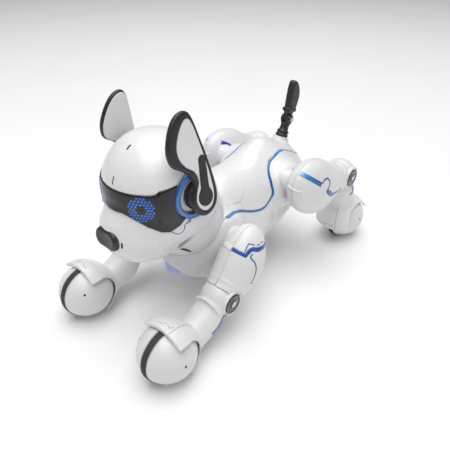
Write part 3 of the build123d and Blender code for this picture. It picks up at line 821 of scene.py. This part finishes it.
def legs():
    """Both left legs, and their mirror images on the right."""
    ball, tread = half_ball(), tyre_ring()
    both_balls = joined([ball, mirrored(ball)])
    for end, shape in SHAPES.items():
        pivot, axle, middle = shape["pivot"], shape["axle"], shape["middle"]
        thigh, shin = upper_leg_field(shape), lower_leg_field(shape)
        low, high = np.minimum(middle - 48, pivot - 22), np.maximum(middle + 48, pivot + 22)
        low[0], high[0] = LEG_X - 21, LEG_X + 21
        hub_x = shape["hub"][0]

        def outer_field(p):
            return smax(thigh(p), LEG_X + HALF_GAP - p[..., 0], 0.7)

        def inner_field(p):
            f = smax(thigh(p), p[..., 0] - LEG_X + HALF_GAP, 0.7)
            return smin(f, rod_x(p, shape["hub"], 10.5, hub_x - 24, hub_x - 12), 2.0)
        outer = skin(outer_field, low, high, STEP["thigh"])
        inner = skin(inner_field, low - (6, 0, 0), high, STEP["thigh"])
        low, high = np.minimum(axle - 33, pivot - 19), np.maximum(axle + 33, pivot + 19)
        low[0], high[0] = LEG_X - 32, LEG_X + 32
        casing = skin(shin, low, high, STEP["shin"])
        place, pivot_at, wheel_at = about_x(shape["rest"]), (LEG_X, *pivot[1:]), (LEG_X, *axle[1:])
        cap = moved(pivot_cap(), place, pivot_at)
        mark = moved(oblong(KNUCKLE_FLAT + 2.0, 2.6, 1.3, 0.35, 20), place, pivot_at)
        holes = [eyelet(lambda p: sphere(p, axle, CAP_R), axle + off, BALL_HOLE_R) for off in BALL_HOLES]
        rows = [("upper_leg_outer_casing", outer, WHITE_LEG_SHADED, "upper_leg", "white_shell", "upper_leg_outer"),
                ("upper_leg_inner_casing", inner, WHITE_LEG_SHADED, "upper_leg", "white_shell", "upper_leg_inner"),
                ("lower_leg_casing", casing, WHITE_LEG_SHADED, "lower_leg", "white_shell", "lower_leg"),
                ("pivot_cover", cap, CAP_BLACK, "lower_leg", "pivot_cap", "pivot_pin")]
        for name, owner, material, slot, strokes in LEG_DECALS[end]:
            field = thigh if owner == "upper_leg" else shin
            inlays = joined([decal(field, *stroke) for stroke in strokes])
            rows.append((name, inlays, material, owner, slot, None))
        rows += [("guard_panel_lines", guard_marks(end, shin), PANEL_GROOVE_SHADE, "lower_leg", "grey_inner", None),
                 # Dark discs on the half balls: painted shade of the holes.
                 ("drain_holes", joined(holes), RECESS_SHADE, "lower_leg", "black_trim", None),
                 ("pivot_mark", mark, RIDGE, "lower_leg", "white_shell", None),
                 ("half_balls", moved(both_balls, np.eye(3), wheel_at), BALL_SHADED, "lower_leg", "white_shell",
                  "wheel_caps"),
                 ("tyre_strip", moved(tread, np.eye(3), wheel_at), TYRE, "wheel", "tyre", "tyre")]
        for side in ("left", "right"):
            tag = f"{end}_{side}"
            for name, part, material, owner, slot, node_name in rows:
                piece(f"{tag}_{name}", mirrored(part) if side == "right" else part, material,
                      f"{tag}_{owner}", [f"{tag}_{node_name}"] if node_name else ())


# ======== body
NECK = PIVOTS["neck_turn"]
NECK_AXIS = np.array((0, -SIN30, COS30))
RING_AXIS = np.array((0, -COS30, SIN30))
REAR_AXIS = np.array((0, COS30, SIN30))
COLLAR_R = 36.0
COLLAR_FRONT, COLLAR_BACK = 17, -26         # ends of the collar along RING_AXIS
# distance along the dog, half-width, top, widest and bottom heights
STATIONS = np.array([
    (-88, 1.5, 63, 61, 59), (-84, 9, 69, 61, 53), (-72, 24, 86, 62, 38), (-55, 33, 105, 64, 29),
    (-30, 35, 119, 64, 25), (-18, 35, 122, 64, 26), (5, 35, 122, 65, 28), (20, 35, 125, 68, 31),
    (32, 33.5, 131, 74, 33), (44, 33, 136, 78, 34), (60, 32, 132, 80, 37), (85, 28, 121, 84, 45),
    (105, 19, 104, 84, 62), (112, 8, 92, 84, 77), (114, 1.5, 86, 84, 82)], float)
# power of the section's curve: upper half of chest and back, upper half of rump, lower half
TOP_ROUND, RUMP_ROUND, BELLY_ROUND = 2.2, 1.75, 3.1
# (y, z) line where the upper and lower casings meet
SEAM = smooth_line([(-96, 74), (-60, 91.5), (-44, 97.4), (-32.5, 98.2), (-21, 94.6), (-4.4, 86.8),
                    (10.5, 82.8), (19.5, 85.4), (24.8, 92.5), (25.8, 103.5), (29.6, 114.4), (40, 121.8),
                    (56, 123.5), (74, 117), (100, 103), (125, 91)])
SEAM_LIT = (-54, 66)                        # part of the seam that has a blue line
TAIL_BASE = PIVOTS["tail_swivel"]
TAIL_AXIS = np.array((0, math.cos(math.radians(64)), math.sin(math.radians(64))))
STATION_CURVE = smooth_line(STATIONS, 6)


def body_field(p):
    """Whole body with bosses for the legs and the tail, and a round seat for the neck."""
    y = p[..., 1]
    width, top, widest, bottom = (np.interp(y, STATION_CURVE[:, 0], column) for column in STATION_CURVE.T[1:])
    width = np.maximum(width, 0.5)
    rise = p[..., 2] - widest
    tall = np.where(rise > 0, np.maximum(top - widest, 0.5), np.maximum(widest - bottom, 0.5))
    power = np.where(rise > 0, np.interp(y, (20, 36), (TOP_ROUND, RUMP_ROUND)), BELLY_ROUND)
    off = ((np.abs(p[..., 0]) / width)**power + (np.abs(rise) / tall)**power)**(1 / power)
    f = (off - 1) * np.minimum(width, tall)
    f = smax(f, np.abs(y - 12) - 99, 6)
    left_p = left_side(p)
    for shape in SHAPES.values():
        hub = shape["hub"]
        face = LEG_X - shape["egg"][0] + 1.5
        f = smin(f, rod_x(left_p, hub + shape["drop"], shape["boss"], 8, face, 8.0), 14)
    f = smin(f, rod(p, TAIL_BASE - TAIL_AXIS * 12, TAIL_BASE - TAIL_AXIS * 7.5, 12.5, 9.0), 5)
    f = smax(f, -rod(p, TAIL_BASE - TAIL_AXIS * 4, TAIL_BASE + TAIL_AXIS * 12, 6.8, 6.8), 1.0)
    return smax(f, -sphere(p, NECK, COLLAR_R + 0.4), 1.2)


def sideways(field, line, side):
    """Points where rays along X meet the surface at the given (y, z) places."""
    line = np.array(line, float)
    inner, outer = np.zeros(len(line)), np.full(len(line), 60.0)
    for _ in range(24):
        x = (inner + outer) / 2
        inside = field(np.column_stack((side * x, line))) < 0
        inner, outer = np.where(inside, x, inner), np.where(inside, outer, x)
    return np.column_stack((side * inner, line))


BELOW_SEAM = Template(list(SEAM) + [(140, -20), (-110, -20)], 4.0, 0.4)
# Line of the dark strip under the chin: painted shadow of the head in the gap between head and collar.
CHIN_GAP_SHADE = [(22.8, -88.2, 84.2), (24.4, -86.6, 84.2), (25.6, -85.0, 83.4), (26.4, -82.4, 81.2),
             (26.5, -79.4, 78.0)]
BODY_PANEL_LINES = [
    [(26.0, -33.2, 102.7), (27.5, -25.3, 102.3), (28.3, -16.4, 101.2), (26.9, -10.6, 104.0),
     (24.2, -6.0, 108.5)],
    [(17.5, -54.1, 67.1), (18.0, -48.0, 69.7), (19.3, -42.4, 74.2), (19.8, -38.8, 78.2)]]


def leg_room(p):
    """Keeps the body clear of the upper legs."""
    left_p = left_side(p)
    room = np.full(p.shape[:-1], FAR)
    for shape in SHAPES.values():
        room = np.minimum(room, egg(left_p, shape["middle"], shape["egg"], shape["lean"]))
    return room


def body():
    def whole(p):
        return smax(body_field(p), 0.5 - leg_room(p), 0.8)

    low, high = (-42, -92, 20), (42, 116, 146)
    upper = skin(lambda p: smax(whole(p), HALF_GAP - BELOW_SEAM(p), 0.7), low, high, STEP["body"])
    lower = skin(lambda p: smax(whole(p), BELOW_SEAM(p) + HALF_GAP, 0.7), low, high, STEP["body"])
    piece("body_upper_casing", upper, WHITE, "torso", ["body_upper_shell"])
    piece("body_lower_casing", lower, WHITE, "torso", ["body_lower_shell"])
    line = [(y, z) for y, z in SEAM if SEAM_LIT[0] < y < SEAM_LIT[1]]
    for side, word in SIDES:
        trim = strip(body_field, sideways(body_field, line, side), 2.3, 0.45)
        piece(f"body_blue_line_{word}", trim, BLUE, "torso")

    def collar_field(p):
        f = smax(sphere(p, NECK, COLLAR_R + 1.4), -sphere(p, NECK, COLLAR_R - 1.9), 0.8)
        reach = (p - NECK) @ RING_AXIS
        f = smax(f, (p - NECK) @ NECK_AXIS - RIM + 0.7, 0.8)
        return smax(smax(f, reach - COLLAR_FRONT, 1.0), COLLAR_BACK - reach, 1.0)
    ring = skin(collar_field, NECK - 38, NECK + 38, STEP["collar"])
    piece("neck_collar_ring", ring, COLLAR, "torso", ["neck_collar"])

    # Painted shadow: dark strips on the collar under the chin, where the head shades the gap above the chest.
    chin_shade_strips = [strip(lambda p: sphere(p, NECK, COLLAR_R + 1.4), np.array(CHIN_GAP_SHADE) * (side, 1, 1),
                   [1.6, 3.0, 3.4, 3.0, 1.6], 0.2) for side in (1, -1)]
    piece("collar_chin_shade", joined(chin_shade_strips), RECESS_SHADE, "torso")
    # Grey lines along body panel seams: painted shade of the grooves.
    seams = [strip(body_field, onto(body_field, np.array(line) * (side, 1, 1)), 0.4, 0.1)
             for side in (1, -1) for line in BODY_PANEL_LINES]
    piece("body_panel_lines", joined(seams), PANEL_GROOVE_SHADE, "torso")

    lens_at = middle_of("chest_light")

    def lens_field(p):
        f = egg(p, (0, -77, 48), (10, 6.8, 8.5))
        ribs = 0.25 * np.cos(p[..., 0] * 2 * math.pi / 2.4)
        return f - np.where(np.abs(p[..., 0]) < 8, ribs, 0) * 0.6
    lens = skin(lens_field, lens_at - 14, lens_at + 14, STEP["lens"])
    piece("chest_light_lens", lens, LENS, "torso", ["chest_light"])


# ======== head
SKULL, SKULL_R = (0, -88.1, 142.3), 43.5
CHEEKS, CHEEK_SIZE = (0, -82, 122), (39.4, 33.8, 29.8)
MUZZLE, MUZZLE_SIZE, MUZZLE_LEAN = (0, -101.4, 110.6), (32.9, 41.7, 34.1), -4.3
EAR_HUB = np.array((0, PIVOTS["ear_left_tilt"][1], PIVOTS["ear_left_tilt"][2]))
EAR_SEAT_R, VISOR_NOTCH_R = 20.6, 19.8      # round seat of an ear, and the visor's end round it
EAR_RING_R, RING_TURNS = 17.4, 96
HEAD_FLAT = 37.5
RIM = 14.0                                  # height of the head's lower edge above the neck joint
SKIRT_R = 40.9
VISOR_RISE = 0.9
EYE_AT, LED_PITCH, HEX_ROW = (24.0, -124.0, 141.0), 2.75, 0.866
PUPIL_R, EYE_R = 3.4, 10.6                  # the LEDs lie between these
CHEEK_LINE = [(33.7, -105.5, 116.2), (34.2, -99.4, 111.7), (35.6, -95.0, 114.0), (36.6, -94.2, 119.0),
              (36.9, -91.8, 120.4)]
VISOR_SIDE = Template([(-150, 152.5), (-118, 152.8), (-115.4, 153.6), (-113, 155.4), (-98, 156.4), (-92, 150),
                       (-92, 127), (-99, 120), (-107, 116.5), (-113, 118.5), (-122, 125.5),
                       (-131.5, 135.5), (-150, 136.5)])


def head_field(p):
    """Cranium, muzzle, cheeks and jaw skirt as one soft form, with round seats for the ears."""
    f = smin(sphere(p, SKULL, SKULL_R), egg(p, CHEEKS, CHEEK_SIZE), 7)
    f = smax(f, np.abs(p[..., 0]) - HEAD_FLAT, 5.0)
    f = smin(f, egg(p, MUZZLE, MUZZLE_SIZE, MUZZLE_LEAN), 6)
    f = smin(f, sphere(p, NECK + NECK_AXIS * (RIM + 12), SKIRT_R), 5)
    seat = smax(np.hypot(p[..., 1] - EAR_HUB[1], p[..., 2] - EAR_HUB[2]) - EAR_SEAT_R,
                HEAD_FLAT - 0.1 - np.abs(p[..., 0]), 0.6)
    return smax(f, -seat, 1.0)


def head_shell_field(p):
    """The head, cut off at its lower edge and hollowed for the collar."""
    q = p - NECK
    height = q @ NECK_AXIS
    rear = q @ REAR_AXIS + 30
    shell = smax(head_field(p), -smax(height - RIM, -rear, 3.0), 1.2)
    return smax(shell, -smax(sphere(p, NECK, COLLAR_R + 2.2), height - RIM - 3.0, 0.8), 1.2)


def visor_field(p):
    f = head_field(p)
    band = VISOR_SIDE(p)
    plate = smax(f - VISOR_RISE, -(f + 1.2), 0.4)
    hub = VISOR_NOTCH_R - np.hypot(p[..., 1] - EAR_HUB[1], p[..., 2] - EAR_HUB[2])
    return smax(smax(plate, band, 0.9), hub, 0.8)


def visor_face(p):
    return head_field(p) - VISOR_RISE


def tangents(normal):
    """Level and upright directions on a surface."""
    across = np.cross((0, 0, 1), normal)
    across /= length(across)
    return across, np.cross(normal, across)


def led_dots(side):
    """Round LED lenses on a hexagonal grid around a dark pupil, on the visor."""
    centre = onto(visor_face, np.array([EYE_AT]) * (side, 1, 1))[0]
    across, up = tangents(outward(head_field, centre[None])[0])
    dome = [(-0.25, 1.05), (0.10, 1.0), (0.24, 0.75), (0.3, 0.35), (0.31, 0.0)]
    parts = []
    for row in range(-5, 6):
        for column in range(-5, 6):
            a = (column + (row % 2) * 0.5) * LED_PITCH
            b = row * LED_PITCH * HEX_ROW
            out = math.hypot(a, b * 1.02)
            if not PUPIL_R < out < EYE_R:
                continue
            at = onto(visor_face, (centre + across * a + up * b)[None])
            normal = outward(head_field, at)[0]
            dot, faces = lathe(dome[::-1], 12)
            points = at[0] + dot @ np.stack((normal, *tangents(normal)))
            parts.append((points, faces, np.full(len(dot), 1 - out / 12)))
    return joined(parts)


def slot_mark(line, width):
    return fine_line(head_field, smooth_line(line, 4), width, 0.06)


def head():
    shell = skin(head_shell_field, (-42, -146, 72), (42, -28, 189), STEP["head"])
    piece("head_casing", shell, WHITE, "head", ["head_front_shell"])

    def neck_field(p):
        q = p - NECK
        height = q @ NECK_AXIS
        ball = smax(sphere(p, NECK, 33.0), -sphere(p, NECK, 30.5), 0.6)
        ball = smax(ball, -8 - height, 0.8)
        ball = smax(ball, height - RIM - 2, 0.8)
        flange = smax(head_field(p) + 0.8, np.abs(height - RIM - 1.4) - 1.2, 0.8)
        flange = smax(flange, -sphere(p, NECK, 31.5), 0.8)
        rear = q @ REAR_AXIS + 29
        return smin(ball, smax(flange, -rear, 1.0), 1.5)
    neck = skin(neck_field, NECK - 44, NECK + 44, STEP["neck"])
    piece("head_neck_ring", neck, COLLAR, "head", ["head_rear_shell"])

    visor = skin(visor_field, (-40, -136, 110), (40, -88, 162), STEP["visor"])
    piece("visor_band", visor, VISOR, "head", ["visor"])
    for side, word in SIDES:
        piece(f"eye_led_cluster_{word}", led_dots(side), LED, "head",
              ["led_boards"] if side > 0 else ())

    def nose_field(p):
        q = turned(p, (0, -138.0, 112.5), -6)
        d = np.abs(q) - np.array((12.8, 6.2, 8.4)) + np.array((7.8, 2.6, 7.8))
        side_view = np.hypot(np.maximum(d[..., 0], 0), np.maximum(d[..., 2], 0)) - 7.8
        side_view = side_view + np.minimum(np.maximum(d[..., 0], d[..., 2]), 0)
        crown = 0.018 * (q[..., 0]**2 + q[..., 2]**2)
        return smax(side_view, np.abs(q[..., 1] + crown * 0.5) - 5.4, 4.0)
    nose = skin(nose_field, (-15, -148, 99), (15, -128, 123), STEP["nose"])
    piece("nose_block", nose, NOSE, "head", ["nose"])

    # Dark strips for the slots on the head and beside the nose: painted shade of the slot recesses.
    marks = [slot_mark([(0.4, -113.2, 178.0), (0.4, -109.2, 180)], 1.7),
             slot_mark([(0, -130, 155.6), (0, -127.2, 161.2)], 1.1)]
    for side in (1, -1):
        marks.append(slot_mark([(side * 14.2, -139, 109.0), (side * 14.6, -138.6, 114.2)], 1.5))
    piece("head_slots", joined(marks), RECESS_SHADE, "head")
    for side, word in SIDES:
        strokes = [fine_line(head_field, smooth_line(np.array(CHEEK_LINE) * (side, 1, 1), 6), 0.8, 0.12)]
        for tick in range(4):
            start = np.array((side * 37.0, -92.4 + tick * 1.5, 119.2 + tick * 0.35))
            strokes.append(fine_line(head_field, smooth_line([start, start + (0, 1.6, 2.4)], 3), 0.7, 0.12))
        piece(f"cheek_line_{word}", joined(strokes), BLUE_DEEP, "head")

    # Painted shade and highlight: ramp position around the ring's tube section, darkest on the side facing the ear
    # hub and lightest toward its outer face.
    rows, section_shading = [], []
    for t in np.linspace(0, 2 * math.pi, 20, endpoint=False):
        rows.append((HEAD_FLAT + 1.1 + 2.0 * math.cos(t), EAR_RING_R + 2.3 * math.sin(t)))
        section_shading.append(0.5 + 0.5 * math.sin(t))
    points, faces = lathe(rows[::-1], RING_TURNS, True)
    ring = (points + EAR_HUB, faces, np.repeat(np.array(section_shading[::-1]), RING_TURNS))
    piece("ear_light_ring_pair", joined([ring, mirrored(ring)]), BLUE_RING, "head",
          ["ear_light_rings"])


# ======== ears
EAR_LEAN = 10.2
EAR_X = 44.4
EAR_DEPTH = 0.935       # front-to-back size beside the outline as drawn
EAR_YAW = 0.066         # the front edge turns towards the head
EAR_RIM = smooth_line([(-77, 187), (-82, 203.5), (-87.5, 209), (-96, 207.5), (-103.5, 200), (-109, 188),
                       (-109.5, 179), (-106.5, 172.5), (-98, 167), (-91, 160), (-89.5, 153), (-93, 146),
                       (-94.5, 138), (-90, 130), (-82, 127), (-73, 131), (-68.5, 140), (-69.5, 155),
                       (-72.5, 170)], 4, True)
EAR_INSET = smooth_line([(-78.5, 185), (-82.5, 199), (-86.5, 204), (-92, 202), (-98, 194), (-101.5, 185),
                         (-100.5, 176.5), (-95.5, 169.5), (-88.5, 164), (-86, 156), (-90, 147), (-91, 139.5),
                         (-87, 133), (-81.5, 130.8), (-75, 134), (-71.5, 142), (-72.5, 156),
                         (-75, 170)], 4, True)


def ear_plate(field, x_low, x_high):
    """Meshes a flat plate in the ear's own frame, then leans it inwards."""
    points, faces = skin(field, (x_low, -114, 122), (x_high, -64, 214), STEP["ear"])
    c, s = math.cos(math.radians(EAR_LEAN)), math.sin(math.radians(EAR_LEAN))
    z = points[:, 2] - EAR_HUB[2]
    back = (points[:, 1] - EAR_HUB[1]) * EAR_DEPTH
    leaned = np.stack((EAR_X + points[:, 0] * c - z * s + back * EAR_YAW, EAR_HUB[1] + back,
                       EAR_HUB[2] + points[:, 0] * s + z * c), -1)
    return leaned, faces


def ears():
    rim_side, inset_side = Template(EAR_RIM), Template(EAR_INSET)

    def shell_field(p):
        plate = smax(rim_side(p), np.abs(p[..., 0] - 2.2) - 2.2, 2.4)
        cut = smax(inset_side(p), 3.2 - p[..., 0], 0.5)
        hub = rod_x(p, EAR_HUB, 11.5, -6.0, 1.0, 1.5)
        return smin(smax(plate, -cut, 0.5), hub, 1.5)

    def back_field(p):
        return smax(rim_side(p) + 1.2, np.abs(p[..., 0] + 0.15) - 0.5, 0.5)

    def panel_field(p):
        crown = 0.012 * np.minimum(inset_side(p) + 0.4, 0)**2
        return smax(inset_side(p) + 0.35, np.abs(p[..., 0] - 3.3) - 0.7 - np.minimum(crown, 0.25), 0.7)

    def inlay_field(p):
        y, z = p[..., 1], p[..., 2]
        bulb = np.hypot(y + 81.5, z - 142.5) - 7.4
        t = np.clip((z - 142) / 29.5, 0, 1)
        stem = np.hypot(y - (-81.3 + 1.6 * t), z - (142 + 29.5 * t)) - (4.3 - 0.6 * t)
        mark = smin(bulb, stem, 2.5)
        return smax(mark, np.abs(p[..., 0] - 4.0) - 0.75, 0.6)

    fields = {
        "ear_{}_frame": (shell_field, -7, 6, BLACK, "black_trim", "ear_{}_shell"),
        "ear_{}_back_plate": (back_field, -2, 2, WHITE, "white_shell", None),
        "ear_{}_white_panel": (panel_field, 1, 6, WHITE, "white_shell", "ear_{}_panel"),
        "ear_{}_stem_inlay": (inlay_field, 2, 6, INLAY, "inlay_black", "ear_{}_inlay"),
    }
    for name, (field, low, high, material, slot, node_name) in fields.items():
        plate = ear_plate(field, low, high)
        for side in ("left", "right"):
            part = mirrored(plate) if side == "right" else plate
            nodes = [node_name.format(side)] if node_name else []
            piece(name.format(side), part, material, f"ear_{side}", nodes)


# ======== tail
def tail():
    fold = PIVOTS["tail_fold"]
    rings = [(0.3, 6.4), (1.0, 6.6), (3.2, 6.6), (3.6, 5.6), (4.2, 5.6), (4.6, 6.4), (6.6, 6.2), (7.0, 5.2),
             (7.6, 5.0), (8.0, 4.7), (13.0, 4.3), (13.4, 5.0), (14.6, 5.0)]
    profile = [(-12, 0.0), (-12, 3.5), (0.3, 3.5)] + rings + [(15.0, 4.0), (15.0, 0.0)]
    points, faces = lathe(profile[::-1], 64)
    turn = np.stack((TAIL_AXIS, (1, 0, 0), np.cross(TAIL_AXIS, (1, 0, 0))), -1)
    stem = (points @ turn.T + TAIL_BASE, faces)

    def fork_field(p):
        f = rod_x(p, fold, 5.2, -5, 5, 1.2)
        arm = smax(rod(p, TAIL_BASE + TAIL_AXIS * 12, fold, 4.4, 4.4), np.abs(p[..., 0]) - 4.8, 1.0)
        f = smin(f, arm, 1.5)
        return smax(f, -rod_x(p, fold, 5.9, -2.1, 2.1, 0.5), 0.6)
    fork = skin(fork_field, fold - (8, 14, 16), fold + (8, 10, 9), STEP["fork"])
    piece("tail_stem_body", joined([stem, fork]), TAIL, "tail_stem", ["tail_stem"])
    blade = Template(smooth_line([(89.5, 150), (91.5, 163), (94.5, 176), (98.5, 181), (104.5, 177.5),
                                  (108.2, 167), (105.5, 156), (100.5, 148)], 5))

    def blade_field(p):
        f = smax(blade(p), np.abs(p[..., 0]) - 3.9, 3.0)
        neck = smax(rod(p, fold, fold + np.array((0, 3.0, 10.0)), 4.6, 4.8), np.abs(p[..., 0]) - 3.9, 1.0)
        step = smax(np.abs(ahead(p, fold, 74) - 9.5) - 1.2, np.abs(ahead(p, fold, -16)) - 6.4, 0.6)
        neck = smin(neck, smax(step, np.abs(p[..., 0]) - 4.4, 0.6), 0.6)
        low_part = smax(-(np.abs(p[..., 0]) - 1.8), sphere(p, fold, 6.6), 0.4)
        return smax(smin(f, neck, 2.0), -low_part, 0.5)
    blade_mesh = skin(blade_field, (-6, 82, 134), (6, 114, 184), STEP["blade"])
    piece("tail_blade_body", blade_mesh, TAIL, "tail_blade", ["tail_blade"])


# ======== stage
FLOOR_SIZE, FLOOR_HEIGHT = 8.0, -0.0002
WORLD_COLOUR, WORLD_STRENGTH = (0.97, 0.975, 1.0, 1), 0.27
LIT_POINT = Vector((0, 0, 0.08))
LIGHTS = (      # name, place, size, power, colour
    ("key_light", (0.55, -0.75, 1.6), 1.0, 6.4, (1.0, 0.985, 0.96)),
    ("fill_light", (1.2, 0.3, 0.7), 1.0, 0.3, (0.95, 0.97, 1.0)),
    ("top_light", (-0.1, 0.1, 2.2), 2.2, 46.0, (1.0, 1.0, 1.0)),
)
CAMERA_AT, CAMERA_LOOK, CAMERA_LENS = (0.2565, -0.2931, 0.3180), (-0.551, 0.618, -0.561), 36.4


def placed(name, data, place, direction):
    """Puts a light or camera in the scene, facing a direction."""
    obj = bpy.data.objects.new(name, data)
    bpy.context.scene.collection.objects.link(obj)
    obj.location = place
    obj.rotation_euler = Vector(direction).to_track_quat("-Z", "Y").to_euler()
    return obj


def stage():
    """Floor, world, lights and the camera of the photo view."""
    mesh = bpy.data.meshes.new("studio_floor")
    corners = ((-1, -1), (1, -1), (1, 1), (-1, 1))
    mesh.from_pydata([(x * FLOOR_SIZE, y * FLOOR_SIZE, FLOOR_HEIGHT) for x, y in corners], [], [(0, 1, 2, 3)])
    floor = bpy.data.objects.new("studio_floor", mesh)
    bpy.context.scene.collection.objects.link(floor)
    shader = Shader("pale_floor", (0.97, 0.97, 0.97), 0.8)
    shader.tint(shader.ramp(shader.noise(200, 2.0), [(0.3, (0.92, 0.92, 0.92)), (0.7, (0.94, 0.94, 0.94))]))
    mesh.materials.append(shader.material)

    world = bpy.data.worlds.new("studio_world")
    bpy.context.scene.world = world
    world.use_nodes = True
    world.node_tree.nodes["Background"].inputs["Color"].default_value = WORLD_COLOUR
    world.node_tree.nodes["Background"].inputs["Strength"].default_value = WORLD_STRENGTH
    for name, place, size, power, colour in LIGHTS:
        light = bpy.data.lights.new(name, "AREA")
        light.size = size
        light.energy = power
        light.color = colour
        placed(name, light, place, LIT_POINT - Vector(place))

    camera = bpy.data.cameras.new("photo_camera")
    camera.lens = CAMERA_LENS
    camera.sensor_width = 36.0
    bpy.context.scene.camera = placed("photo_camera", camera, CAMERA_AT, CAMERA_LOOK)
    bpy.context.scene.view_settings.view_transform = "Standard"


legs()
body()
head()
ears()
tail()
stage()
